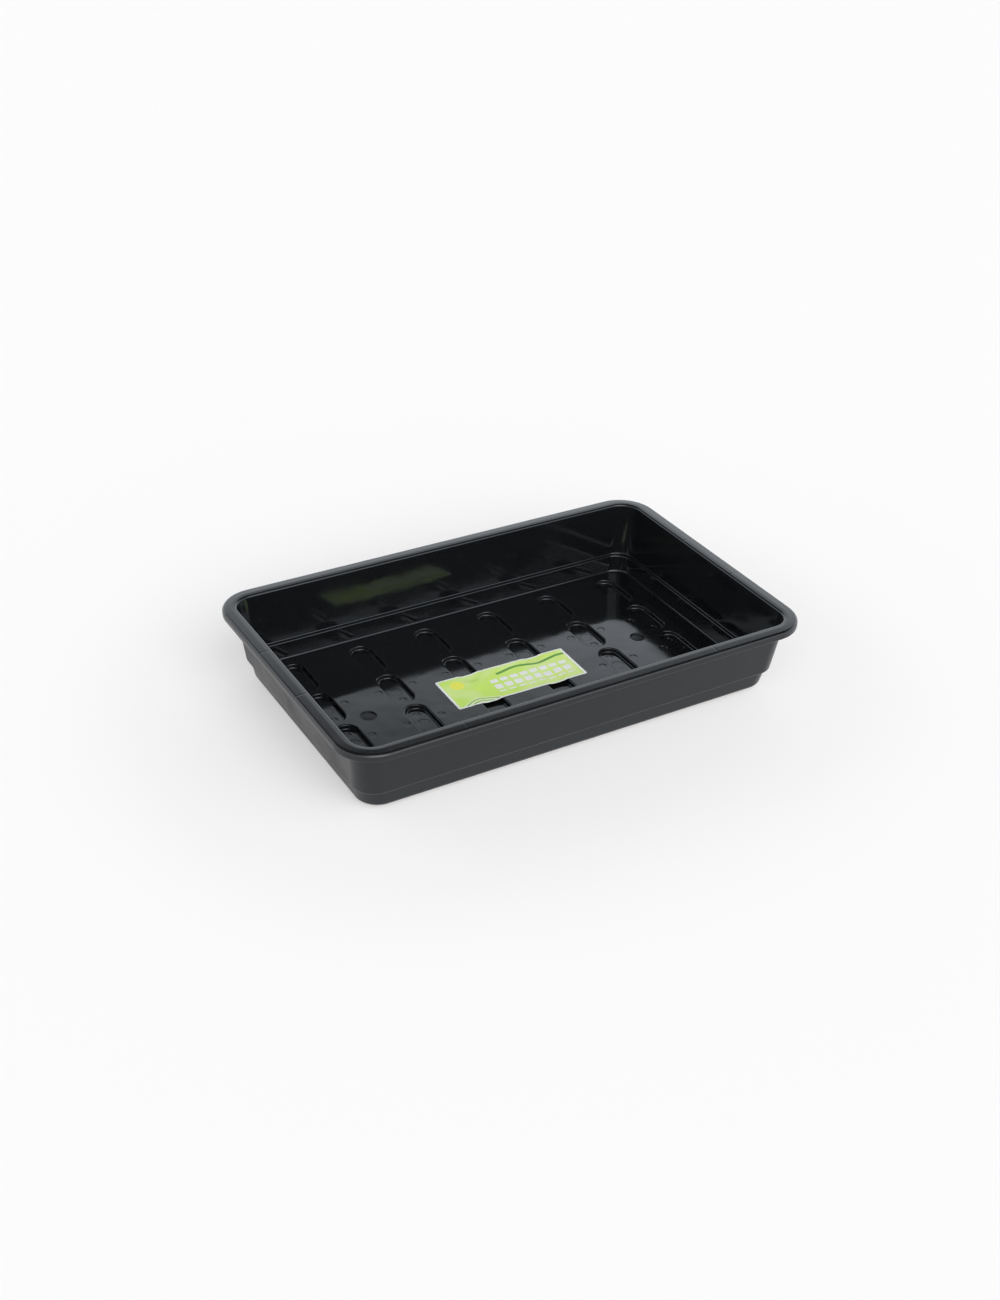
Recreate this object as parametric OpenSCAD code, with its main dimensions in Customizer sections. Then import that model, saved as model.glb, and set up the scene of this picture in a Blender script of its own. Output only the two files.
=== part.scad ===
// Rigid garden tray with a stepped wall, a flat rim with a down-turned lip, and a
// floor that stands on rows of moulded foot pads. A printed label is stuck inside.
// X runs along the tray, Y across it and Z up. The origin is on the bench, under
// the middle of the tray.

/* [Tray] */
// Length over the rim
tray_l = 380; // [320:5:460]
// Width over the rim
tray_w = 240; // [200:5:300]
// Height from the bench to the top of the rim
tray_h = 62; // [54:1:80]
// Thickness of the walls, the rim and the foot pads
wall_t = 1.6; // [1.2:0.1:2]
// Thickness of the floor
floor_t = 2; // [1.6:0.1:3]

/* [Rim] */
// Corner radius of the rim's outer edge
rim_r = 29; // [26:0.5:36]
// Width of the rim, from its outer edge to the mouth
rim_w = 11.4; // [9:0.2:14]
// Height of the down-turned lip
lip_h = 6; // [4:0.5:9]
// Rounding of the rim's outer top edge
rim_edge_r = 2.4; // [2:0.1:3.4]

/* [Walls] */
// Distance that the upper wall leans in on its way down
upper_lean = 5.2; // [3:0.2:7]
// Height of the step's underside above the bench
step_h = 17.3; // [15:0.1:24]
// Rounding of the step's outer edge
step_r = 4; // [3:0.5:5]
// Width of the ledge inside the tray
ledge_w = 2.5; // [2:0.1:4]
// Corner radius of the lower wall, at its top
lower_r = 17.5; // [14:0.5:20]
// Distance that the lower wall leans in on its way down
lower_lean = 1.5; // [0.5:0.1:3]
// Rounding of the base's outer edge
base_r = 4.5; // [3.5:0.5:6]

/* [Foot pads] */
// Number of pads along the tray
pad_cols = 6; // [3:1:7]
// Number of pads across the tray
pad_rows = 4; // [2:1:5]
// Height that the pads stand out below the floor
pad_h = 3; // [2:0.25:4]
// Width of the recess inside a pad, at the floor
recess_w = 18.2; // [14:0.2:22]
// Distance that a recess's side leans in on its way down
recess_lean = 1.3; // [0.8:0.1:2]
// Gap between the ends of two recesses
row_gap = 4.2; // [3.8:0.2:8]
// Gap between the side wall and the nearest recess end
side_gap = 9.3; // [6:0.1:16]
// Gap between the end wall and the nearest recess
end_gap = 18.8; // [10:0.2:26]

/* [Mould marks] */
// Depth of the small round marks
mark_depth = 0.3; // [0.2:0.05:0.6]
// Diameter of the small round marks
mark_d = 6.2; // [4:0.2:7]
// Gap between a recess and the small marks beside it
mark_gap = 2; // [1.5:0.1:3]
// Gap between the end of a recess and the small mark inside it
mark_end_gap = 5.2; // [4.5:0.1:6]
// Diameter of the disc mark in the middle of a recess
disc_d = 10.4; // [8:0.2:12]
// Diameter of the two dimples in the floor
dimple_d = 12; // [8:0.5:14]
// Depth of the two dimples
dimple_depth = 0.8; // [0.4:0.1:1.2]
// Distance of a dimple from the end wall
dimple_gap = 50.5; // [48:0.5:54]

/* [Stacking ribs] */
// Distance of the end wall's ribs from the middle
end_rib_y = 31; // [20:1:60]
// Distance of the side wall's ribs from the middle
side_rib_x = 103; // [60:1:130]
// Thickness of a rib
rib_t = 1.2; // [0.8:0.1:2]
// Height that a rib stands out from the wall, below the lip
rib_proud = 0.9; // [0.5:0.1:1.5]
// Distance from the rim's top down to the foot of an end rib
end_rib_drop = 25.5; // [20:0.5:30]
// Distance from the rim's top down to the foot of a side rib
side_rib_drop = 13; // [10:0.5:16]
// Height of the slope from a rib's foot part out to the lip
rib_slope_h = 5; // [3:0.5:8]

/* [Label] */
// Length of the label
label_l = 110; // [80:1:130]
// Width of the label
label_w = 40; // [30:1:50]
// Thickness of the label
label_t = 0.2; // [0.1:0.05:0.4]
// Corner radius of the label
label_r = 1.2; // [0.5:0.1:3]
// Place of the label's middle across the tray
label_y = -5.2; // [-20:0.2:20]
// Turn of the label on the floor, in degrees
label_turn = -0.9; // [-5:0.1:5]

/* [Hidden] */
$fn = 64;

// Cuts run past the faces that they open by this much
over = wall_t / 2;

// Heights
rim_under = tray_h - wall_t;
lip_z = tray_h - lip_h;
ledge_z = step_h + wall_t;
floor_z = pad_h + floor_t;

// Distances in from the rim's outer edge to the inner faces of the walls
ledge_in = rim_w + upper_lean;
lower_in = ledge_in + ledge_w;
floor_in = lower_in + lower_lean;

// Inside size of the floor
floor_l = tray_l - 2 * floor_in;
floor_w = tray_w - 2 * floor_in;

// Recess pattern, fitted to the floor
recess_l = (floor_w - 2 * side_gap - (pad_rows - 1) * row_gap) / pad_rows;
pitch_x = (floor_l - 2 * end_gap - recess_w) / (pad_cols - 1);
pitch_y = recess_l + row_gap;
recess_depth = floor_z - wall_t;
end_centres = recess_l - recess_w;

// Centres of the corner arcs in plan, measured from the middle of the tray
rim_core = [tray_l / 2 - rim_r, tray_w / 2 - rim_r];
lower_out = lower_in - wall_t;
lower_core = [tray_l / 2 - lower_out - lower_r, tray_w / 2 - lower_out - lower_r];

function column_x(i) = (i - (pad_cols - 1) / 2) * pitch_x;
function row_y(j) = (j - (pad_rows - 1) / 2) * pitch_y;
function is_middle_row(j) = abs(row_y(j)) < pitch_y;

// Half the width of a recess at height z, and of the pad round it
function recess_half(z) = recess_w / 2 - recess_lean * (floor_z - z) / recess_depth;
function pad_half(z) = recess_half(z) + wall_t;

// Outer face of the upper wall at height z, as a distance from the corner centres
function upper_face(z) =
    rim_r - rim_w + wall_t - upper_lean * (tray_h - z) / (tray_h - ledge_z);

// Carries a profile round the tray. Its x is the distance out from the corner
// centres, which lie at [core.x, core.y], and its y is the height.
module carry_round(core) {
    for (side = [0, 1]) mirror([side, 0, 0]) {
        translate([core.x, 0, 0])
            rotate([90, 0, 0])
                linear_extrude(height = 2 * core.y, center = true) children();
        for (end = [0, 1]) mirror([0, end, 0])
            translate([core.x, core.y, 0])
                rotate_extrude(angle = 90) children();
    }
    for (end = [0, 1]) mirror([0, end, 0])
        translate([0, core.y, 0])
            rotate([90, 0, 90])
                linear_extrude(height = 2 * core.x, center = true) children();
}

// Flat plate with round corners, between two heights
module round_plate(length, width, r, z0, z1) {
    translate([0, 0, z0]) {
        translate([r - length / 2, -width / 2, 0])
            cube([length - 2 * r, width, z1 - z0]);
        translate([-length / 2, r - width / 2, 0])
            cube([length, width - 2 * r, z1 - z0]);
        for (x = [-1, 1], y = [-1, 1])
            translate([x * (length / 2 - r), y * (width / 2 - r), 0])
                cylinder(h = z1 - z0, r = r);
    }
}

// Half section of a tub: a flat bottom at z0, a round of radius r, and a side that
// leans out by lean on its way from z0 up to z1, where it is at x1
module tub_section(x1, z0, z1, lean, r) {
    slope = lean / (z1 - z0);
    tilt = atan(slope);
    centre_x = x1 - lean + slope * r - r / cos(tilt);
    touch = [centre_x + r * cos(tilt), z0 + r - r * sin(tilt)];
    polygon([[0, z0], [centre_x, z0], [centre_x, z0 + r], touch, [x1, z1], [0, z1]]);
    translate([centre_x, z0 + r]) circle(r = r);
}

// Wall profile: one tub section less another, one wall further in
module wall_section(x1, z0, z1, lean, r, bottom_t) {
    difference() {
        tub_section(x1, z0, z1, lean, r);
        translate([0, bottom_t])
            tub_section(x1 - wall_t, z0, z1, lean, r - wall_t);
    }
}

// Flat rim with the lip turned down at its outer edge
module rim_section() {
    rim_in = rim_r - rim_w;
    inner_edge_r = rim_edge_r - wall_t;
    difference() {
        union() {
            translate([rim_in, lip_z]) square([rim_w - rim_edge_r, lip_h]);
            translate([rim_in, lip_z]) square([rim_w, lip_h - rim_edge_r]);
            translate([rim_r - rim_edge_r, tray_h - rim_edge_r]) circle(r = rim_edge_r);
        }
        translate([rim_in - over, lip_z - over]) {
            square([rim_w - wall_t + over, lip_h - rim_edge_r + over]);
            square([rim_w - rim_edge_r + over, lip_h - wall_t + over]);
        }
        translate([rim_r - rim_edge_r, tray_h - rim_edge_r]) circle(r = inner_edge_r);
    }
}

// Tapered solid with round ends, half as wide as half0 at z0 and half1 at z1
module long_round(half0, half1, z0, z1) {
    for (end = [-1, 1])
        translate([0, end * end_centres / 2, z0])
            cylinder(h = z1 - z0, r1 = half0, r2 = half1);
    rotate([90, 0, 0])
        linear_extrude(height = end_centres, center = true)
            polygon([[-half0, z0], [half0, z0], [half1, z1], [-half1, z1]]);
}

module at_each_recess() {
    for (i = [0 : pad_cols - 1], j = [0 : pad_rows - 1])
        translate([column_x(i), row_y(j), 0]) children();
}

// Shallow round mark, cut down from height z
module round_mark(x, y, z, d, depth) {
    translate([x, y, z - depth]) cylinder(h = depth + over, d = d);
}

// Small marks beside the recesses of the two middle rows and inside their inner
// ends, on the side of the tray's middle
module small_marks() {
    beside = recess_w / 2 + mark_gap + mark_d / 2;
    along = recess_l / 2 - mark_end_gap - mark_d / 2;
    for (i = [0 : pad_cols - 1], j = [0 : pad_rows - 1]) if (is_middle_row(j)) {
        towards = row_y(j) > 0 ? -1 : 1;
        for (side = [-1, 1])
            if (abs(column_x(i) + side * beside) < floor_l / 2 - end_gap)
                round_mark(column_x(i) + side * beside, row_y(j), floor_z, mark_d, mark_depth);
        round_mark(column_x(i), row_y(j) + towards * along, wall_t, mark_d, mark_depth);
    }
}

// Rib from the wall out to the lip, standing in the plane of its own profile
module rib_section(drop) {
    foot = tray_h - drop;
    bend = max(lip_z - rib_slope_h, foot);
    sunk = wall_t / 2;
    polygon([
        [upper_face(foot) - sunk, foot],
        [upper_face(foot) + rib_proud, foot],
        [upper_face(bend) + rib_proud, bend],
        [rim_r - wall_t, lip_z],
        [rim_r - sunk, lip_z],
        [rim_r - sunk, tray_h - rim_edge_r],
        [rim_r - rim_edge_r, tray_h - sunk],
        [upper_face(rim_under) - sunk, tray_h - sunk]
    ]);
}

module ribs() {
    for (x = [0, 1], y = [-1, 1]) {
        mirror([x, 0, 0])
            translate([rim_core.x, y * end_rib_y, 0])
                rotate([90, 0, 0])
                    linear_extrude(height = rib_t, center = true) rib_section(end_rib_drop);
        mirror([0, x, 0])
            translate([y * side_rib_x, rim_core.y, 0])
                rotate([90, 0, 90])
                    linear_extrude(height = rib_t, center = true) rib_section(side_rib_drop);
    }
}

// Rim and upper wall, down to the step
module upper_part() {
    difference() {
        carry_round(rim_core) {
            union() {
                rim_section();
                wall_section(rim_r - rim_w + wall_t, step_h, tray_h - over,
                    upper_lean, step_r, wall_t);
            }
        }
        round_plate(tray_l - 2 * lower_in, tray_w - 2 * lower_in, lower_r - wall_t,
            step_h - over, ledge_z + over);
    }
    ribs();
}

// Lower wall and floor, with the pads under it
module lower_part() {
    difference() {
        union() {
            carry_round(lower_core)
                wall_section(lower_r, pad_h, ledge_z, lower_lean, base_r, floor_t);
            translate([-lower_core.x, -lower_core.y, pad_h])
                cube([2 * lower_core.x, 2 * lower_core.y, floor_t]);
            at_each_recess()
                long_round(pad_half(0), pad_half(pad_h + floor_t / 2), 0, pad_h + floor_t / 2);
        }
        at_each_recess() {
            long_round(recess_half(wall_t), recess_half(floor_z + over), wall_t, floor_z + over);
            round_mark(0, 0, wall_t, disc_d, mark_depth);
        }
        small_marks();
        for (side = [-1, 1])
            round_mark(side * (floor_l / 2 - dimple_gap), 0, floor_z, dimple_d, dimple_depth);
    }
}

module tray() {
    color("#1d1e20") {
        upper_part();
        lower_part();
    }
}

module label() {
    color("#a9cf38")
        translate([0, label_y, 0])
            rotate(label_turn)
                round_plate(label_l, label_w, label_r, floor_z, floor_z + label_t);
}

tray();
label();
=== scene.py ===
# %% [markdown]
# # A garden tray in black plastic
#
# The real tray is one piece of black polypropylene, moulded in one shot, with a
# printed label stuck on its floor. In Blender it becomes two pieces: the moulding,
# built as one closed mesh from rings and rounded edges, and the label, a thin film
# that dips where the floor is hollow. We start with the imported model, which fixes
# the size and the place of everything.

# %% Tools and the fixed frame
import math

import bmesh
import bpy
from mathutils import Matrix, Vector


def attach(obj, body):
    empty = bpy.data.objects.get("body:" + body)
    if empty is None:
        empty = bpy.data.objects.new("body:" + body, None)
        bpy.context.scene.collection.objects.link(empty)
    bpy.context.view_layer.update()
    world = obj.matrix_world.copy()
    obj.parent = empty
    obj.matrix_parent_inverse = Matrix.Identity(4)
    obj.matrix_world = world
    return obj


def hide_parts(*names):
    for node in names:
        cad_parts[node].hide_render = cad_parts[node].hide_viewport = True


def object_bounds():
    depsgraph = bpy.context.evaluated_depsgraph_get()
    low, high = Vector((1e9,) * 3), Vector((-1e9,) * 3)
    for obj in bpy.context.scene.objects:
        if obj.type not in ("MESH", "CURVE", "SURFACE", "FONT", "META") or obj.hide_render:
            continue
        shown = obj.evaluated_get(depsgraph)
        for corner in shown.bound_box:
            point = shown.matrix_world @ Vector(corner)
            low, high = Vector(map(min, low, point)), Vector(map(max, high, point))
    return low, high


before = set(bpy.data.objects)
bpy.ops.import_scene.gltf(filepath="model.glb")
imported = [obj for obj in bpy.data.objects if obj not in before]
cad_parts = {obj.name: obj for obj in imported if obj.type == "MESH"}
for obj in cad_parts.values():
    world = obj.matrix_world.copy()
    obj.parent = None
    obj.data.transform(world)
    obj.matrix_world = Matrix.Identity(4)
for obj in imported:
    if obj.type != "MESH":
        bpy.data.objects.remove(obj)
cad_low, cad_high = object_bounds()
tray_length, tray_width, tray_height = cad_high - cad_low
print(f"frame: {tray_length:.3f} x {tray_width:.3f} x {tray_height:.3f} m")

# %% [markdown]
# ## The camera
#
# A photograph is matched by its viewing angle first. The camera stands to the left
# of the tray's front, looks down at a third of a right angle, and is a long way off,
# so the tray's edges stay nearly parallel. We turn it in three steps, as a
# photographer turns a tripod head: round, down, and a touch of roll.

# %% Camera
mm = 0.001
camera_turn = math.radians(-31.35)
camera_dip = math.radians(32.0)
camera_roll = math.radians(2.01)
camera_distance = 1256.9 * mm
camera_target = Vector((-4.3, 7.0, 24.5)) * mm
sensor_side = 36.0
focal_share = 1660.1 / 1300

camera = bpy.data.objects.new("camera", bpy.data.cameras.new("camera"))
bpy.context.scene.collection.objects.link(camera)
camera.data.sensor_width = sensor_side
camera.data.lens = sensor_side * focal_share
turned = (
    Matrix.Rotation(camera_turn, 4, "Z")
    @ Matrix.Rotation(math.radians(90) - camera_dip, 4, "X")
    @ Matrix.Rotation(camera_roll, 4, "Z")
)
away = Vector((math.sin(camera_turn), -math.cos(camera_turn), math.tan(camera_dip)))
stand = camera_target + away.normalized() * camera_distance
camera.matrix_world = Matrix.Translation(stand) @ turned
bpy.context.scene.camera = camera
print("camera stands at", [round(v, 3) for v in stand])

# %% [markdown]
# ## Measures of the moulding
#
# A moulded tray has one wall thickness nearly everywhere. All places in the wall are
# given as a distance in from the rim's outer edge and a height above the bench, so
# the same numbers serve the long sides, the ends and the corners.

# %% Measures
wall = 1.6 * mm
rim_width = 11.4 * mm
rim_corner = 29 * mm
rim_ridge = 7.2 * mm
rim_fall = 0.3 * mm
rim_dip = 0.18 * mm
lip_height = 6 * mm
upper_lean = 5.2 * mm
step_height = 17.3 * mm
ledge_width = 2.5 * mm
lower_lean = 2.2 * mm
pad_height = 3 * mm
floor_thickness = 2 * mm

floor_height = pad_height + floor_thickness
ledge_height = step_height + wall
ledge_in = rim_width + upper_lean
lower_in = ledge_in + ledge_width
floor_in = lower_in + lower_lean
rim_under = tray_height - wall
lip_low = tray_height - lip_height
print(f"floor at {floor_height / mm:.1f} mm, ledge at {ledge_height / mm:.1f} mm")

# %% [markdown]
# ## Rings with round corners
#
# Every level of the wall is a rectangle with round corners, so one helper draws such
# a ring. It starts from a flat square, stretches it and bevels its four corners,
# which gives true quarter circles with the same number of points in each ring.
# Rings with equal numbers of points bridge into clean four-sided faces. Bridging
# gets confused by rings that lie flat inside each other, so the rings are stacked
# like a telescope first, bridged, and then pushed to their heights.
#
# The last helper rounds a ring of edges to a radius: a bevel is set by how far it
# reaches along the faces, and that is the radius times the tangent of half the turn.

# %% Ring and edge helpers
corner_steps = 14
seam = 0.001 * mm
stack_gap = 20 * mm


def round_ring(bm, length, width, radius, steps=corner_steps):
    """Draws a flat ring, a rectangle whose corners are quarter circles."""
    corners = bmesh.ops.create_grid(bm, x_segments=1, y_segments=1, size=0.5)["verts"]
    bmesh.ops.scale(bm, vec=(length, width, 1), verts=corners)
    cut = bmesh.ops.bevel(
        bm, geom=corners, affect="VERTICES", offset=radius, segments=steps, profile=0.5,
        material=-1,
    )
    bmesh.ops.remove_doubles(bm, verts=cut["verts"], dist=seam)
    face = next(vert for vert in cut["verts"] if vert.is_valid).link_faces[0]
    edges = list(face.edges)
    bmesh.ops.delete(bm, geom=[face], context="FACES_ONLY")
    return edges


def move_ring(bm, ring, height):
    """Moves a ring up or down."""
    verts = list({vert for edge in ring for vert in edge.verts})
    bmesh.ops.translate(bm, vec=(0, 0, height), verts=verts)


def join_rings(bm, rings, heights):
    """Bridges each ring to the next and returns the faces of every band."""
    for i, ring in enumerate(rings):
        move_ring(bm, ring, i * stack_gap)
    pairs = zip(rings, rings[1:])
    bands = [bmesh.ops.bridge_loops(bm, edges=a + b)["faces"] for a, b in pairs]
    for i, (ring, height) in enumerate(zip(rings, heights)):
        move_ring(bm, ring, height - i * stack_gap)
    return bands


def round_edges(bm, edges, radius, steps):
    """Rounds a ring of edges to a radius."""
    reach = radius * math.tan(edges[0].calc_face_angle() / 2)
    bmesh.ops.bevel(
        bm, geom=edges, affect="EDGES", offset=reach, segments=steps, profile=0.5,
        material=-1,
    )


# %% [markdown]
# ## The wall, from the floor up and down again
#
# The section of the wall is a walk: from the floor up the lower wall, over the
# ledge, up to the mouth, across the rim, down the lip, and back along the outside to
# the base. Each stop is a ring. The rim isn't quite flat: it has a low ridge and
# falls a little to both sides of it, which draws a dark and a light band along it.
# After the rings are bridged, each one is rounded with its own radius. The finish
# changes on the way as well: polished inside, rubbed on the rim and the lip, where
# hands and other trays touch it, and satin outside.

# %% Wall
FINE, MEDIUM, BROAD = 3, 5, 7
POLISHED, RUBBED, SATIN = 0, 1, 2
floor_flange = 4.6 * mm
base_flange = 7 * mm

# distance in, height, corner radius, rounding, steps of the rounding
inside_stops = [
    (floor_in + floor_flange, floor_height, 11 * mm, 0, 0),
    (floor_in, floor_height, 15.2 * mm, 2.2 * mm, BROAD),
    (lower_in, ledge_height, 14.2 * mm, 1.2 * mm, MEDIUM),
    (ledge_in, ledge_height, 15.2 * mm, 1.2 * mm, MEDIUM),
]
rim_stops = [
    (rim_width, tray_height - rim_dip, 15.6 * mm, 1.8 * mm, BROAD),
    (rim_ridge, tray_height, 20.4 * mm, 12 * mm, MEDIUM),
    (0, tray_height - rim_fall, 28.9 * mm, 2.4 * mm, BROAD),
    (0, lip_low, rim_corner, 0.8 * mm, MEDIUM),
]
outside_stops = [
    (wall, lip_low, 27.4 * mm, 0.5 * mm, FINE),
    (wall, rim_under - rim_fall, 27.1 * mm, 0.6 * mm, FINE),
    (rim_width - wall, rim_under - rim_dip, 17.2 * mm, 1.2 * mm, MEDIUM),
    (ledge_in - wall, step_height, 16.8 * mm, 2.5 * mm, BROAD),
    (lower_in - wall, step_height, 15.8 * mm, 0.4 * mm, FINE),
    (floor_in - wall, pad_height, 17.2 * mm, 4.5 * mm, BROAD),
    (floor_in - wall + base_flange, pad_height, 10 * mm, 0, 0),
]


def wall_shell(bm):
    """Builds the rim and the walls, open at the floor and at the base."""
    stops = inside_stops + rim_stops + outside_stops
    rings = [
        round_ring(bm, tray_length - 2 * inset, tray_width - 2 * inset, radius)
        for inset, _, radius, _, _ in stops
    ]
    bands = join_rings(bm, rings, [height for _, height, _, _, _ in stops])
    rim_starts = len(inside_stops)
    rim_ends = rim_starts + len(rim_stops)
    for i, band in enumerate(bands):
        finish = POLISHED if i < rim_starts else RUBBED if i < rim_ends else SATIN
        for face in band:
            face.material_index = finish
    bmesh.ops.recalc_face_normals(bm, faces=bm.faces)
    for ring, (_, _, _, rounding, steps) in zip(rings, stops):
        if rounding:
            round_edges(bm, ring, rounding, steps)


moulding = bmesh.new()
wall_shell(moulding)
print(f"wall: {len(moulding.faces)} faces")

# %% [markdown]
# ## The recesses and the pads
#
# The floor has rows of recesses with round ends, and each one shows below as a pad
# that the tray stands on. A round-ended slot is a ring whose corner radius is half
# its width. Each recess brings a narrow flat flange of floor with it, so that its
# top edge can be rounded before the floor is filled in between the flanges. The
# bottom stays open for now, because it holds moulding marks of its own.

# %% Places of the slots
columns, rows = 6, 4
end_gap = 18.1 * mm
side_gap = 8.6 * mm
row_gap = 4.2 * mm
slot_width = 18.2 * mm
floor_length = tray_length - 2 * floor_in
floor_width = tray_width - 2 * floor_in
slot_length = (floor_width - 2 * side_gap - (rows - 1) * row_gap) / rows
pitch_x = (floor_length - 2 * end_gap - slot_width) / (columns - 1)
pitch_y = slot_length + row_gap
slot_run = slot_length - slot_width
column_places = [(i - (columns - 1) / 2) * pitch_x for i in range(columns)]
row_places = [(j - (rows - 1) / 2) * pitch_y for j in range(rows)]
print(f"slots: {columns} x {rows}, {slot_width / mm:.1f} x {slot_length / mm:.1f} mm")

# %% Sides of the recess and the pad
slot_steps = 8
recess_half = 8.85 * mm
recess_foot_half = 7.75 * mm
recess_bottom = wall
pad_root_half = 9.9 * mm
pad_foot_half = 8.8 * mm
flange = 1.1 * mm

# half width, height, rounding, steps of the rounding
recess_stops = [
    (recess_half + flange, floor_height, 0, 0),
    (recess_half, floor_height, 1.0 * mm, MEDIUM),
    (recess_foot_half, recess_bottom, 1.3 * mm, MEDIUM),
    (recess_foot_half - flange, recess_bottom, 0, 0),
]
pad_stops = [
    (pad_root_half + flange, pad_height, 0, 0),
    (pad_root_half, pad_height, 0.8 * mm, FINE),
    (pad_foot_half, 0, 1.4 * mm, MEDIUM),
    (pad_foot_half - 2 * flange, 0, 0, 0),
]


def slot(bm, stops):
    """Builds the sides of a round-ended slot and returns its last ring."""
    rings = [
        round_ring(bm, 2 * half, slot_run + 2 * half, half, slot_steps)
        for half, _, _, _ in stops
    ]
    join_rings(bm, rings, [height for _, height, _, _ in stops])
    for ring, (_, _, rounding, steps) in zip(rings, stops):
        if rounding:
            round_edges(bm, ring, rounding, steps)
    return rings[-1]


def recess_and_pad():
    """Makes one recess with its pad, in the middle of a mesh of its own."""
    bm = bmesh.new()
    foot = slot(bm, pad_stops)
    bmesh.ops.contextual_create(bm, geom=foot)
    for face in bm.faces:
        face.material_index = SATIN
    slot(bm, recess_stops)
    return bm


recess_depth = floor_height - recess_bottom
print(f"recess: {2 * recess_half / mm:.1f} mm wide, {recess_depth / mm:.1f} mm deep")

# %% [markdown]
# ## Marks of the mould
#
# The pins that push a tray out of its mould leave shallow round marks: a disc in the
# middle of each recess, deeper small ones beside and inside the recesses of the two
# middle rows, and near each end one round dimple, deeper than the marks and not
# polished, whose bottom rises to a very low dome. Each is a small dish made of
# circles, bridged like the rings, with a narrow flange of its own. Its side is drawn
# with several circles, because smooth shading would wipe out a slope that is only one
# face wide.

# %% Mould marks
mark_steps = 24
mark_depth = 0.38 * mm
mark_slope = 0.42 * mm
side_steps = 5
mark_radius = 3.1 * mm
disc_radius = 5.2 * mm
disc_side = mark_slope, 0.12 * mm
mark_flange = 0.5 * mm
mark_beside = 14.2 * mm
mark_along = 12.05 * mm
dimple_place = 118.9 * mm
dimple_radius = 6 * mm
dimple_slope = 0.5 * mm
dimple_side = 0.85 * mm
dome_height = 0.3 * mm
dome_steps = 8


def dish(bm, stops, y=0.0):
    """Builds a round dish from stops of radius and height, closed in the middle."""
    rings, heights = [], []
    for radius, height in stops:
        made = bmesh.ops.create_circle(bm, segments=mark_steps, radius=radius)["verts"]
        bmesh.ops.translate(bm, vec=(0, y, 0), verts=made)
        rings.append(list({edge for vert in made for edge in vert.link_edges}))
        heights.append(height)
    join_rings(bm, rings, heights)
    bmesh.ops.contextual_create(bm, geom=rings[-1])


def mark_stops(radius, height, slope=mark_slope, depth=mark_depth):
    """Gives the stops of a dish whose side falls in a soft S to a flat bottom."""
    stops = [(radius + mark_flange, height)]
    for i in range(side_steps + 1):
        share = i / side_steps
        fall = share * share * (3 - 2 * share)
        stops.append((radius - slope * share, height - depth * fall))
    return stops


def dome_stops():
    """Gives the stops of a dimple: a sunken disc with a very low dome in it."""
    stops = mark_stops(dimple_radius, floor_height, dimple_slope, dimple_side)
    foot_radius, foot_height = stops[-1]
    for i in range(1, dome_steps):
        share = 1 - i / dome_steps
        risen = foot_height + dome_height * (1 - share * share)
        stops.append((foot_radius * share, risen))
    return stops


print(f"marks: {mark_depth / mm:.2f} mm deep, dimples: {dimple_side / mm:.2f} mm deep")

# %% [markdown]
# ## Stamping copies
#
# Each of these parts was made once, in a small mesh of its own, which is quick. Now
# copies are stamped into the moulding. A recess in the middle rows has its small
# mark at the end that faces the middle, so on the far side it is turned by half a
# turn.

# %% Stamp the floor pattern
def stamp(target, pattern, places):
    """Adds a copy of a small mesh at each place and then frees it."""
    mesh = bpy.data.meshes.new("stamp")
    pattern.to_mesh(mesh)
    pattern.free()
    for place in places:
        mesh.transform(place)
        target.from_mesh(mesh)
        mesh.transform(place.inverted())
    bpy.data.meshes.remove(mesh)


half_turn = Matrix.Rotation(math.radians(180), 4, "Z")
outer, inner, beside = [], [], []
for x in column_places:
    for y in row_places:
        here = Matrix.Translation((x, y, 0))
        if abs(y) > pitch_y:
            outer.append(here)
            continue
        inner.append(here @ half_turn if y > 0 else here)
        for side in (x - mark_beside, x + mark_beside):
            if abs(side) < floor_length / 2 - end_gap:
                beside.append(Matrix.Translation((side, y, 0)))

plain_recess = recess_and_pad()
dish(plain_recess, mark_stops(disc_radius, recess_bottom, *disc_side))
marked_recess = recess_and_pad()
dish(marked_recess, mark_stops(disc_radius, recess_bottom, *disc_side))
dish(marked_recess, mark_stops(mark_radius, recess_bottom), mark_along)
mark = bmesh.new()
dish(mark, mark_stops(mark_radius, floor_height))
dimple = bmesh.new()
dish(dimple, dome_stops())
for face in dimple.faces:
    face.material_index = SATIN

stamp(moulding, plain_recess, outer)
stamp(moulding, marked_recess, inner)
stamp(moulding, mark, beside)
stamp(moulding, dimple, [Matrix.Translation((s * dimple_place, 0, 0)) for s in (-1, 1)])
print(f"recesses: {len(outer) + len(inner)}, {pitch_x / mm:.1f} x {pitch_y / mm:.1f} mm")
print(f"marks beside the recesses: {len(beside)}")

# %% [markdown]
# ## Closing the floor
#
# Three flat levels are still open: the floor between the flanges, the bottoms of the
# recesses round their marks, and the underside between the pads. At each level we
# collect the open edges and let the triangle fill close what lies between them. It
# knows a hole from an outline by itself. Then the mesh is tested: in a closed mesh
# every edge has exactly two faces, and only such a mesh has a volume.

# %% Flat levels
def fill_level(bm, height, slot_index):
    """Fills the flat area between all open edges at one height."""
    edges = [
        edge for edge in bm.edges
        if edge.is_boundary and all(abs(v.co.z - height) < seam for v in edge.verts)
    ]
    made = bmesh.ops.triangle_fill(bm, use_beauty=True, edges=edges, normal=(0, 0, 1))
    for face in made["geom"]:
        if isinstance(face, bmesh.types.BMFace):
            face.material_index = slot_index
    return len(edges)


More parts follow.
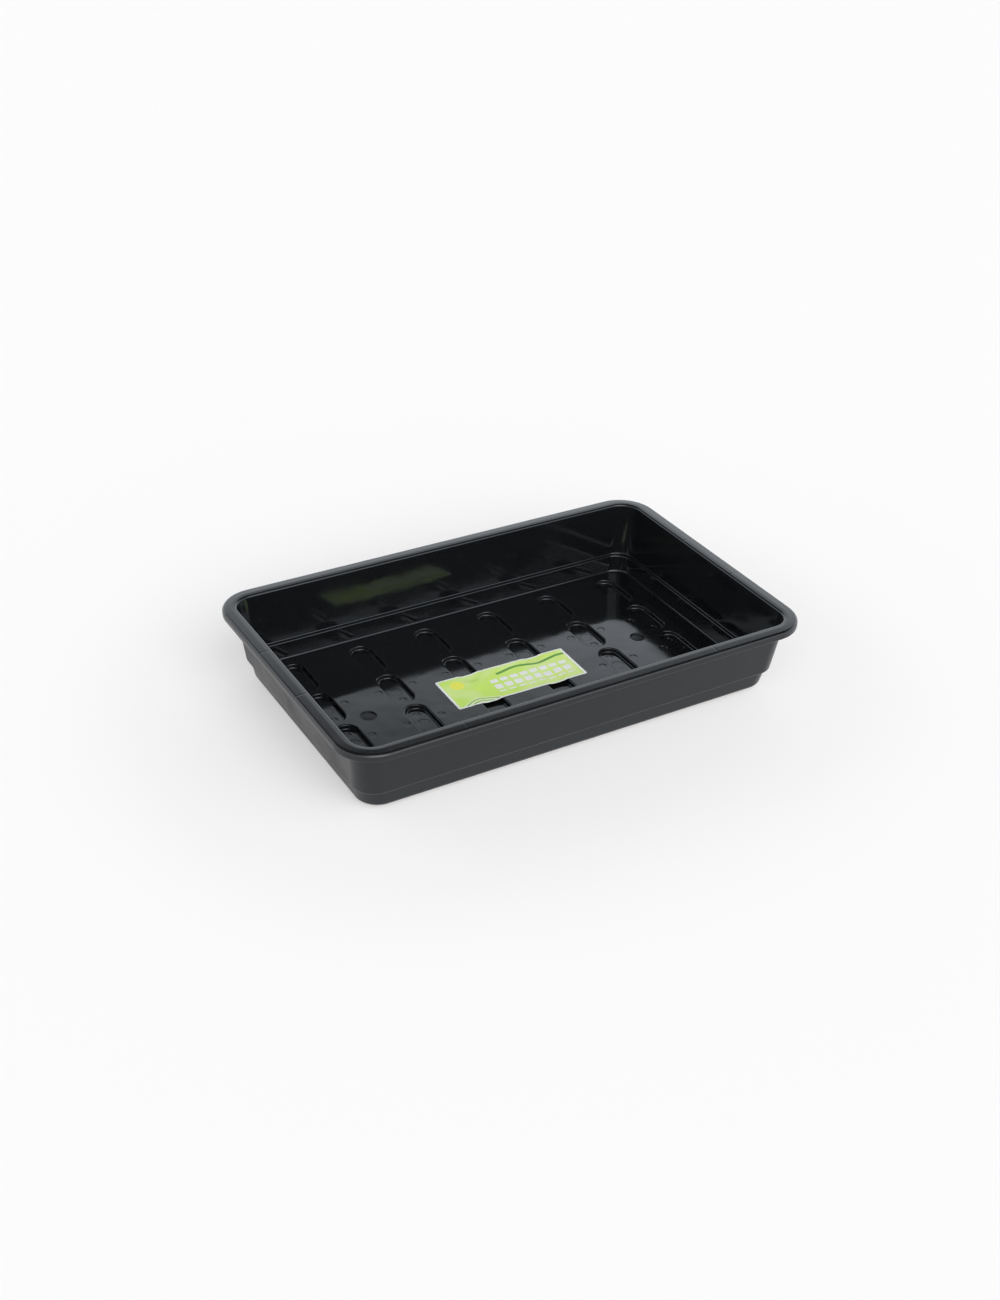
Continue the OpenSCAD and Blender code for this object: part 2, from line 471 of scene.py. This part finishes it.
for height, slot_index in (
    (floor_height, POLISHED), (recess_bottom, POLISHED), (pad_height, SATIN),
):
    print(f"level {height / mm:.1f} mm: {fill_level(moulding, height, slot_index)} edges")
bmesh.ops.recalc_face_normals(moulding, faces=moulding.faces)
open_edges = [edge for edge in moulding.edges if len(edge.link_faces) != 2]
volume_cm3 = moulding.calc_volume(signed=True) * 1e6
print(f"open edges: {len(open_edges)}, plastic: {volume_cm3:.1f} cubic cm")

# %% [markdown]
# ## Ribs under the lip
#
# Trays are sold in stacks, and thin ribs outside the wall keep one from wedging in
# the next. Each rib is a plate that reaches from the wall out to the lip. We draw
# its outline once, with its feet sunk in the plastic, pull it to a plate, soften its
# edges and turn it to its place on each side.

# %% Ribs
rib_thickness = 1.2 * mm
rib_proud = 0.9 * mm
rib_slope = 5 * mm
rib_soft = 0.25 * mm
rib_soft_steps = 2
end_rib_drop, end_rib_place = 25.5 * mm, 31 * mm
side_rib_drop, side_rib_place = 13 * mm, 103 * mm
sunk = wall / 2


def outer_face(height):
    """Gives the distance in of the upper wall's outer face at a height."""
    fallen = (tray_height - height) / (tray_height - ledge_height)
    return rim_width - wall + upper_lean * fallen


def rib(drop):
    """Makes one rib in the plane of its outline. The rim's edge is at x = 0."""
    foot = tray_height - drop
    bend = max(lip_low - rib_slope, foot)
    outline = [
        (outer_face(foot) + sunk, foot),
        (outer_face(foot) - rib_proud, foot),
        (outer_face(bend) - rib_proud, bend),
        (wall, lip_low + sunk),
        (sunk, lip_low + sunk),
        (sunk, rim_under - rim_fall),
        (3 * sunk, rim_under - rim_fall + sunk),
        (outer_face(rim_under) + sunk, rim_under + sunk),
    ]
    bm = bmesh.new()
    corners = [bm.verts.new((-inset, 0, height)) for inset, height in outline]
    bmesh.ops.contextual_create(bm, geom=corners)
    bmesh.ops.translate(bm, vec=(0, -rib_thickness / 2, 0), verts=corners)
    bmesh.ops.solidify(bm, geom=list(bm.faces), thickness=rib_thickness)
    bmesh.ops.recalc_face_normals(bm, faces=bm.faces)
    bmesh.ops.bevel(
        bm, geom=list(bm.edges), affect="EDGES", offset=rib_soft,
        segments=rib_soft_steps, profile=0.5, material=-1,
    )
    for face in bm.faces:
        face.material_index = SATIN
    spread = [vert.co.y / mm for vert in bm.verts]
    print(f"rib: {len(bm.faces)} faces, y {min(spread):.2f} to {max(spread):.2f} mm")
    return bm


quarter = math.radians(90)
end_places, side_places = [], []
for turn in range(4):
    facing = Matrix.Rotation(turn * quarter, 4, "Z")
    for along in (-1, 1):
        if turn % 2:
            step = Matrix.Translation((tray_width / 2, along * side_rib_place, 0))
            side_places.append(facing @ step)
        else:
            step = Matrix.Translation((tray_length / 2, along * end_rib_place, 0))
            end_places.append(facing @ step)
stamp(moulding, rib(end_rib_drop), end_places)
stamp(moulding, rib(side_rib_drop), side_places)
print(f"ribs: {len(end_places) + len(side_places)}, all faces {len(moulding.faces)}")

# %% [markdown]
# ## Helpers for shader nodes
#
# Materials are graphs of nodes. One helper starts a material, and another adds a
# node, sets its options, and fills each input with a number or with a link, so that
# a graph reads like a recipe. The third adds a single Math node for a sum. The next
# ones measure: how far a value lies from a line, how long a way across and up is, and
# how far a point lies outside a box with round corners, which is negative inside it.
# The last turns such a distance into a mask with a soft edge.

# %% Node helpers
def new_material(name):
    """Starts a material and returns it with its node tree and its shader."""
    material = bpy.data.materials.new(name)
    material.use_nodes = True
    return material, material.node_tree, material.node_tree.nodes["Principled BSDF"]


def add_node(tree, kind, values=None, **options):
    """Adds a shader node and fills its inputs with numbers or links."""
    node = tree.nodes.new(kind)
    for name, value in options.items():
        setattr(node, name, value)
    for name, value in (values or {}).items():
        if isinstance(value, bpy.types.NodeSocket):
            tree.links.new(value, node.inputs[name])
        else:
            node.inputs[name].default_value = value
    return node


def number(tree, operation, first, second=0.0, third=0.0):
    """Adds a Math node and returns its result."""
    node = tree.nodes.new("ShaderNodeMath")
    node.operation = operation
    for socket, value in zip(node.inputs, (first, second, third)):
        if isinstance(value, bpy.types.NodeSocket):
            tree.links.new(value, socket)
        else:
            socket.default_value = value
    return node.outputs[0]


# %% Distances
def from_line(tree, value, place):
    """Gives how far a value lies from a place, on either side."""
    return number(tree, "ABSOLUTE", number(tree, "SUBTRACT", value, place))


def root_of_squares(tree, across, up):
    """Gives the length of the way across and up together."""
    up_squared = number(tree, "MULTIPLY", up, up)
    return number(tree, "SQRT", number(tree, "MULTIPLY_ADD", across, across, up_squared))


def box_distance(tree, u, v, half_u, half_v, corner):
    """Gives the distance of a point outside a rounded box round the origin."""
    beyond = []
    for value, half in ((u, half_u), (v, half_v)):
        past = number(tree, "SUBTRACT", number(tree, "ABSOLUTE", value), half - corner)
        beyond.append(past)
    outside = root_of_squares(
        tree, *[number(tree, "MAXIMUM", past, 0.0) for past in beyond]
    )
    inside = number(tree, "MINIMUM", number(tree, "MAXIMUM", *beyond), 0.0)
    return number(tree, "SUBTRACT", number(tree, "ADD", outside, inside), corner)


soft_edge = 0.35


def inside_of(tree, distance, edge, blur=soft_edge):
    """Gives 1 where a distance is below an edge, with a soft step."""
    return add_node(
        tree, "ShaderNodeMapRange",
        {
            "Value": distance, "From Min": edge + blur / 2, "From Max": edge - blur / 2,
            "To Min": 0.0, "To Max": 1.0,
        },
    ).outputs["Result"]


# %% [markdown]
# ## Black polypropylene in three finishes
#
# Black plastic has almost no colour of its own, so its look is nearly all
# reflection. Inside, the mould was polished: the walls mirror the floor and the
# label, a little wavy, with faint smudges. Outside it has a satin grain that spreads
# each highlight, and it mirrors less of what stands straight before it. The rim has
# been rubbed, and its fine scratches run along it. They come from a noise that is
# read in rim coordinates: the distance in from the edge, finely, and the way along
# it, coarsely. Over each rib the plastic sank a little as it cooled, which leaves a
# faint line across the rim. One recipe serves all three.

# %% Rim pattern
scratch_stretch = 0.012
sink_width = 1.1 * mm


def rim_coordinates(tree, x, y):
    """Gives the distance in from the rim's edge and, much shortened, x and y."""
    inset = box_distance(tree, x, y, tray_length / 2, tray_width / 2, rim_corner)
    return add_node(
        tree, "ShaderNodeCombineXYZ",
        {
            "X": inset, "Y": number(tree, "MULTIPLY", x, scratch_stretch),
            "Z": number(tree, "MULTIPLY", y, scratch_stretch),
        },
    ).outputs["Vector"]


def sink_lines(tree, x, y):
    """Gives 1 on the thin lines across the rim where the ribs stand below it."""
    from_x, from_y = number(tree, "ABSOLUTE", x), number(tree, "ABSOLUTE", y)
    side = from_line(tree, from_x, side_rib_place)
    end = from_line(tree, from_y, end_rib_place)
    on_side = inside_of(tree, side, sink_width / 2, sink_width)
    on_end = number(
        tree, "MULTIPLY", inside_of(tree, end, sink_width / 2, sink_width),
        number(tree, "GREATER_THAN", from_x, tray_length / 2 - 2 * rim_width),
    )
    return number(tree, "MAXIMUM", on_side, on_end)


# %% Plastic
plastic_ior = 1.49
smudge_scale = 22
smudge_low, smudge_high = 0.35, 0.7
wave_scale = 26
sink_depth = 0.05 * mm
DEEP_BLACK = (0.0042, 0.0043, 0.0046, 1)
WORN_BLACK = (0.0064, 0.0066, 0.0071, 1)


def lay(tree, under, colour, mask):
    """Lays a colour over another through a mask."""
    values = {"Factor": mask, "A": under, "B": colour}
    return add_node(tree, "ShaderNodeMix", values, data_type="RGBA").outputs["Result"]


def bump(tree, height, distance, under=None, **options):
    """Adds a bump on top of another one."""
    values = {"Height": height, "Distance": distance}
    if under:
        values["Normal"] = under
    return add_node(tree, "ShaderNodeBump", values, **options).outputs["Normal"]


def black_plastic(name, roughness, smudge, wave_depth, grain_depth, grain_scale,
                  mirror_tint, rubbed=False):
    """Makes a black plastic with waves, grain and smudges in its gloss."""
    material, tree, shader = new_material(name)
    place = add_node(tree, "ShaderNodeTexCoord").outputs["Object"]
    smudges = add_node(
        tree, "ShaderNodeTexNoise",
        {"Vector": place, "Scale": smudge_scale, "Detail": 5, "Roughness": 0.6},
    ).outputs["Fac"]
    gloss = add_node(
        tree, "ShaderNodeMapRange",
        {
            "Value": smudges, "From Min": smudge_low, "From Max": smudge_high,
            "To Min": roughness, "To Max": roughness + smudge,
        },
    ).outputs["Result"]
    waves = add_node(
        tree, "ShaderNodeTexNoise", {"Vector": place, "Scale": wave_scale, "Detail": 2},
    ).outputs["Fac"]
    skin = bump(tree, waves, wave_depth)
    grain_place = place
    if rubbed:
        axes = add_node(tree, "ShaderNodeSeparateXYZ", {"Vector": place})
        x, y = axes.outputs["X"], axes.outputs["Y"]
        grain_place = rim_coordinates(tree, x, y)
        skin = bump(tree, sink_lines(tree, x, y), sink_depth, skin, invert=True)
    grain = add_node(
        tree, "ShaderNodeTexNoise",
        {"Vector": grain_place, "Scale": grain_scale, "Detail": 3},
    ).outputs["Fac"]
    skin = bump(tree, grain, grain_depth, skin)
    if rubbed:
        gloss = number(tree, "MULTIPLY_ADD", grain, 2 * smudge, gloss)
    tint = lay(tree, DEEP_BLACK, WORN_BLACK, smudges)
    shader.inputs["IOR"].default_value = plastic_ior
    shader.inputs["Specular Tint"].default_value = mirror_tint
    tree.links.new(tint, shader.inputs["Base Color"])
    tree.links.new(gloss, shader.inputs["Roughness"])
    tree.links.new(skin, shader.inputs["Normal"])
    print(f"{name}: {len(tree.nodes)} nodes")
    return material


# %% Three finishes
polished = black_plastic(
    "polished_black", roughness=0.048, smudge=0.085, wave_depth=0.26 * mm,
    grain_depth=0.003 * mm, grain_scale=900, mirror_tint=(0.87, 0.92, 0.96, 1),
)
rubbed = black_plastic(
    "rubbed_black", roughness=0.1, smudge=0.07, wave_depth=0.08 * mm,
    grain_depth=0.006 * mm, grain_scale=1300, mirror_tint=(0.96, 0.98, 1, 1), rubbed=True,
)
satin = black_plastic(
    "satin_black", roughness=0.26, smudge=0.18, wave_depth=0.2 * mm,
    grain_depth=0.015 * mm, grain_scale=1400, mirror_tint=(0.74, 0.8, 0.86, 1),
)

# %% [markdown]
# ## The moulding becomes an object
#
# The mesh gets its finishes by its material slots. Smooth shading alone would bend
# the light across the big flat faces, so a Weighted Normal modifier lets the large
# faces decide and leaves the change of direction to the narrow rounded edges.

# %% Tray object
def make_piece(bm, name, materials):
    """Turns a finished bmesh into an object with smooth, flat-true shading."""
    mesh = bpy.data.meshes.new(name)
    bm.to_mesh(mesh)
    bm.free()
    for material in materials:
        mesh.materials.append(material)
    mesh.shade_smooth()
    piece = bpy.data.objects.new(name, mesh)
    bpy.context.scene.collection.objects.link(piece)
    piece.modifiers.new("flat_true", "WEIGHTED_NORMAL")
    print(f"{name}: {len(mesh.polygons)} faces")
    return piece


tray = make_piece(moulding, "tray_moulding", [polished, rubbed, satin])
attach(tray, "root")
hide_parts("tray")

# %% [markdown]
# ## The label's film
#
# The label is a thin printed film. It sticks to the flat floor and dips where it
# crosses a recess, which makes its edges wavy. It starts as one face with round
# corners, is cut into narrow strips both ways with bisect, and each point is then
# lowered by how far inside a recess it lies. Solidify gives it its thickness.

# %% Label film
label_length, label_width = 111 * mm, 40 * mm
label_corner = 1.2 * mm
label_corner_steps = 4
label_film = 0.15 * mm
label_lift = 0.03 * mm
label_place = Matrix.Translation((-0.6 * mm, -5.2 * mm, 0))
label_turn = math.radians(-0.9)
label_dip = 1.0 * mm
dip_slope = 0.6
strip = 2 * mm


def cut_strips(bm, length, axis):
    """Cuts the mesh across one axis into strips."""
    direction = Vector((0, 0, 0))
    direction[axis] = 1
    count = round(length / strip)
    for i in range(1, count):
        place = direction * (i / count - 0.5) * length
        geometry = list(bm.verts) + list(bm.edges) + list(bm.faces)
        bmesh.ops.bisect_plane(bm, geom=geometry, plane_co=place, plane_no=direction)


def depth_in_slot(x, y):
    """Gives how deep inside the nearest recess a point lies, from 0 to 1."""
    half_run = slot_run / 2
    best = 0
    for cx in column_places:
        for cy in row_places:
            beyond = max(abs(y - cy) - half_run, 0)
            away_from_spine = math.hypot(x - cx, beyond) / recess_half
            best = max(best, 1 - away_from_spine)
    return best


film = bmesh.new()
film_ring = round_ring(film, label_length, label_width, label_corner, label_corner_steps)
bmesh.ops.contextual_create(film, geom=film_ring)
cut_strips(film, label_length, 0)
cut_strips(film, label_width, 1)
film_move = label_place @ Matrix.Rotation(label_turn, 4, "Z")
bmesh.ops.transform(film, matrix=film_move, verts=film.verts)
for vert in film.verts:
    inside = depth_in_slot(vert.co.x, vert.co.y)
    dip = label_dip * math.sin(min(inside, dip_slope) / dip_slope * quarter) ** 2
    vert.co.z = floor_height + label_lift - dip
print(f"label: {len(film.faces)} faces before it gets its thickness")

# %% Label thickness
bmesh.ops.recalc_face_normals(film, faces=film.faces)
if film.faces[0].normal.z < 0:
    bmesh.ops.reverse_faces(film, faces=film.faces)
bmesh.ops.solidify(film, geom=list(film.faces), thickness=-label_film)
bmesh.ops.recalc_face_normals(film, faces=film.faces)
heights = [vert.co.z / mm for vert in film.verts]
print(f"label lies from {min(heights):.2f} to {max(heights):.2f} mm")

# %% [markdown]
# ## The label's print
#
# The print is generic: a white border, a lime ground that grows paler to the right
# and in soft patches, and simple shapes for sun, hill, furrows and seed cells. Each
# shape is a distance: how far a point lies from a line or a centre. A smooth step of
# that distance is its mask, and masks lay one colour over another like ink. We
# measure in millimetres from the label's middle, turned with the label.

# %% Inks and ground
WHITE = (0.94, 0.95, 0.9, 1)
LIME_LEFT = (0.66, 0.92, 0.17, 1)
LIME_RIGHT = (0.75, 0.95, 0.22, 1)
PALE = (0.84, 0.96, 0.5, 1)
LEAF_GREEN = (0.15, 0.4, 0.07, 1)
YELLOW = (0.93, 0.94, 0.12, 1)
lime_start, lime_end = -40.0, 50.0
patch_scale = 55
patch_low, patch_high, patch_share = 0.42, 0.62, 0.4


def lime_ground(tree, u, place):
    """Gives the ground, which grows paler to the right and in soft patches."""
    across = add_node(
        tree, "ShaderNodeMapRange",
        {"Value": u, "From Min": lime_start, "From Max": lime_end},
    ).outputs["Result"]
    patches = add_node(
        tree, "ShaderNodeTexNoise", {"Vector": place, "Scale": patch_scale, "Detail": 1},
    ).outputs["Fac"]
    paleness = add_node(
        tree, "ShaderNodeMapRange",
        {
            "Value": patches, "From Min": patch_low, "From Max": patch_high,
            "To Min": 0.0, "To Max": patch_share,
        },
    ).outputs["Result"]
    return lay(tree, lay(tree, LIME_LEFT, LIME_RIGHT, across), PALE, paleness)


# %% Hill, sun and ribbon
hill_u, hill_v, hill_radius = -34, -36, 24
furrow_waves, furrow_edge = 2.2, -0.55
sun_u, sun_v, sun_radius = -42, 9, 5.5
ribbon_left, ribbon_height, ribbon_half = -8, 11.5, 1.3
sway_waves, sway_size = 0.16, 1.6


def spot(tree, u, v, middle_u, middle_v):
    """Gives the distance of a point from a centre."""
    across = number(tree, "SUBTRACT", u, middle_u)
    return root_of_squares(tree, across, number(tree, "SUBTRACT", v, middle_v))


def waves_of(tree, value, waves):
    """Gives a sine wave along a value."""
    return number(tree, "SINE", number(tree, "MULTIPLY", value, waves))


def landscape(tree, ground, u, v):
    """Lays a furrowed hill, a sun and a winding ribbon over the ground."""
    from_hill = spot(tree, u, v, hill_u, hill_v)
    hill = inside_of(tree, from_hill, hill_radius)
    ground = lay(tree, ground, PALE, hill)
    furrow = inside_of(tree, waves_of(tree, from_hill, furrow_waves), furrow_edge)
    ground = lay(tree, ground, LEAF_GREEN, number(tree, "MULTIPLY", hill, furrow))
    sun = inside_of(tree, spot(tree, u, v, sun_u, sun_v), sun_radius)
    ground = lay(tree, ground, YELLOW, sun)

    sway = number(tree, "MULTIPLY", waves_of(tree, u, sway_waves), sway_size)
    above = number(tree, "SUBTRACT", v, ribbon_height)
    band = inside_of(tree, from_line(tree, above, sway), ribbon_half)
    leftward = number(tree, "MULTIPLY", u, -1.0)
    right_part = inside_of(tree, leftward, -ribbon_left)
    return lay(tree, ground, LEAF_GREEN, number(tree, "MULTIPLY", band, right_part))


# %% [markdown]
# ### Many cells from one
#
# A row of equal shapes needs only one shape. The remainder of a division folds the
# whole label into one small cell, in which the shape is drawn once. The remainder is
# regular only for positive numbers, so the label is first moved far off to the
# positive side. A second, larger box then cuts the block out of the endless pattern.

# %% Seed cells
cell_pitch = 8.6
cell_half_u, cell_half_v, cell_corner = 3.2, 3.0, 1.4
cell_shift_u, cell_shift_v = cell_pitch / 2, 4.6
block_u, block_v = 17.0, -4.3
block_half_u, block_half_v, block_corner = 34, 8.6, 1
far_off = 100


def from_nearest(tree, value, shift):
    """Gives how far a value lies from the middle of its cell."""
    moved = number(tree, "ADD", value, far_off + shift)
    remainder = number(tree, "MODULO", moved, cell_pitch)
    return number(tree, "SUBTRACT", remainder, cell_pitch / 2)


def seed_cells(tree, ground, u, v):
    """Lays rows of white cells with round corners over the right part."""
    cell_u = from_nearest(tree, u, cell_shift_u)
    cell_v = from_nearest(tree, v, cell_shift_v)
    cell = box_distance(tree, cell_u, cell_v, cell_half_u, cell_half_v, cell_corner)
    in_u = number(tree, "SUBTRACT", u, block_u)
    in_v = number(tree, "SUBTRACT", v, block_v)
    block = box_distance(tree, in_u, in_v, block_half_u, block_half_v, block_corner)
    mask = number(tree, "MULTIPLY", inside_of(tree, cell, 0.0), inside_of(tree, block, 0.0))
    return lay(tree, ground, WHITE, mask)


# %% [markdown]
# ### The film itself
#
# The motifs are laid on the ground one after the other, and the white border comes
# last. A film creases a little when it is stuck down by hand, so a soft noise bends
# its surface. Its ink is less glossy than the plastic round it.

# %% Printed film
border_half_u, border_half_v, border_corner = 53.6, 18.6, 1.0
crease_scale, crease_depth = 70, 0.3 * mm
film_roughness, film_shine, film_ior = 0.38, 0.3, 1.46


def printed_film():
    """Makes the label's printed and lightly glossy film."""
    material, tree, shader = new_material("printed_film")
    place = add_node(tree, "ShaderNodeTexCoord").outputs["Object"]
    on_label = add_node(
        tree, "ShaderNodeMapping",
        {
            "Vector": place, "Location": label_place.translation,
            "Rotation": (0, 0, label_turn), "Scale": (mm, mm, 1),
        },
        vector_type="TEXTURE",
    )
    axes = add_node(tree, "ShaderNodeSeparateXYZ", {"Vector": on_label.outputs[0]})
    u, v = axes.outputs["X"], axes.outputs["Y"]
    ground = landscape(tree, lime_ground(tree, u, place), u, v)
    ground = seed_cells(tree, ground, u, v)
    edge = box_distance(tree, u, v, border_half_u, border_half_v, border_corner)
    ground = lay(tree, WHITE, ground, inside_of(tree, edge, 0.0))
    creases = add_node(
        tree, "ShaderNodeTexNoise", {"Vector": place, "Scale": crease_scale, "Detail": 2},
    ).outputs["Fac"]
    tree.links.new(ground, shader.inputs["Base Color"])
    tree.links.new(bump(tree, creases, crease_depth), shader.inputs["Normal"])
    shader.inputs["Roughness"].default_value = film_roughness
    shader.inputs["Specular IOR Level"].default_value = film_shine
    shader.inputs["IOR"].default_value = film_ior
    print(f"printed_film: {len(tree.nodes)} nodes")
    return material


label = make_piece(film, "label_film", [printed_film()])
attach(label, "root")
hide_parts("label")

# %% [markdown]
# ## Floor, room and key light
#
# The tray stands on a wide white floor. Black plastic shows its surroundings, so the
# room matters more than the lamp: its walls are bright up to a third of a right
# angle above the floor, where the backdrop ends, and nearly dark above. One large
# soft key light stands before the tray, with a halo where its diffuser fades out. A
# studio floor also glows a little in a picture, because it is exposed to be white, so
# for the camera and for mirror images a share of its light is its own. The rest still
# carries the tray's shadow.

# %% Floor
floor_side = 9.0
floor_glow = 0.36
FLOOR_PAINT = (0.975, 0.944, 0.925, 1)
FLOOR_GLOW = (0.965, 0.942, 0.928, 1)
floor_mesh = bpy.data.meshes.new("studio_floor")
floor_form = bmesh.new()
bmesh.ops.create_grid(floor_form, x_segments=1, y_segments=1, size=floor_side / 2)
floor_form.to_mesh(floor_mesh)
floor_form.free()
white_floor, paint_tree, paint = new_material("white_floor")
paint.inputs["Base Color"].default_value = FLOOR_PAINT
paint.inputs["Roughness"].default_value = 1.0
paint.inputs["Specular IOR Level"].default_value = 0.0
glow = add_node(paint_tree, "ShaderNodeEmission", {"Color": FLOOR_GLOW})
path = add_node(paint_tree, "ShaderNodeLightPath").outputs
mirrored = number(
    paint_tree, "MAXIMUM", path["Is Glossy Ray"], path["Is Transmission Ray"],
)
seen = number(paint_tree, "MAXIMUM", path["Is Camera Ray"], mirrored)
share = number(paint_tree, "MULTIPLY", seen, floor_glow)
blend = paint_tree.nodes.new("ShaderNodeMixShader")
paint_tree.links.new(share, blend.inputs[0])
paint_tree.links.new(paint.outputs[0], blend.inputs[1])
paint_tree.links.new(glow.outputs[0], blend.inputs[2])
paint_tree.links.new(blend.outputs[0], paint_tree.nodes["Material Output"].inputs[0])
floor_mesh.materials.append(white_floor)
studio_floor = bpy.data.objects.new("studio_floor", floor_mesh)
bpy.context.scene.collection.objects.link(studio_floor)
print(f"studio floor: {floor_side} m wide, its own light {floor_glow}")

# %% Room
key_round, key_up = math.radians(263), math.radians(37)
key_side = Vector((math.cos(key_round), math.sin(key_round), math.tan(key_up)))
key_side.normalize()
world = bpy.data.worlds.new("studio")
bpy.context.scene.world = world
world.use_nodes = True
room = world.node_tree
ROOM_COLOUR = (0.93, 0.985, 1.04, 1)
wall_light, ceiling_light = 1.7, 0.06
wall_top, ceiling_start = 0.49, 0.645
halo_start, halo_end, halo_light = math.radians(22), math.radians(50), 1.25
looking = add_node(room, "ShaderNodeTexCoord").outputs["Generated"]
up = add_node(room, "ShaderNodeSeparateXYZ", {"Vector": looking}).outputs["Z"]
level = add_node(
    room, "ShaderNodeMapRange",
    {
        "Value": up, "From Min": wall_top, "From Max": ceiling_start,
        "To Min": wall_light, "To Max": ceiling_light,
    },
    interpolation_type="SMOOTHSTEP",
)
facing_key = add_node(
    room, "ShaderNodeVectorMath", {0: looking, 1: key_side}, operation="DOT_PRODUCT",
)
halo = add_node(
    room, "ShaderNodeMapRange",
    {
        "Value": facing_key.outputs["Value"], "From Min": math.cos(halo_end),
        "From Max": math.cos(halo_start), "To Min": 0.0, "To Max": halo_light,
    },
    interpolation_type="SMOOTHSTEP",
)
strength = number(room, "ADD", level.outputs["Result"], halo.outputs["Result"])
background = room.nodes["Background"]
background.inputs["Color"].default_value = ROOM_COLOUR
room.links.new(strength, background.inputs["Strength"])
print(f"room: walls up to {math.degrees(math.asin(wall_top)):.0f} degrees")

# %% Key light
key_spread, key_strength = math.radians(50), 1.03
KEY_COLOUR = (1.0, 0.98, 0.95)
key = bpy.data.objects.new("key_light", bpy.data.lights.new("key_light", "SUN"))
bpy.context.scene.collection.objects.link(key)
key.data.angle = key_spread
key.data.energy = key_strength
key.data.color = KEY_COLOUR
key.matrix_world = key_side.to_track_quat("Z", "Y").to_matrix().to_4x4()
bpy.context.scene.view_settings.view_transform = "Standard"
print("key light from", [round(v, 2) for v in key_side])
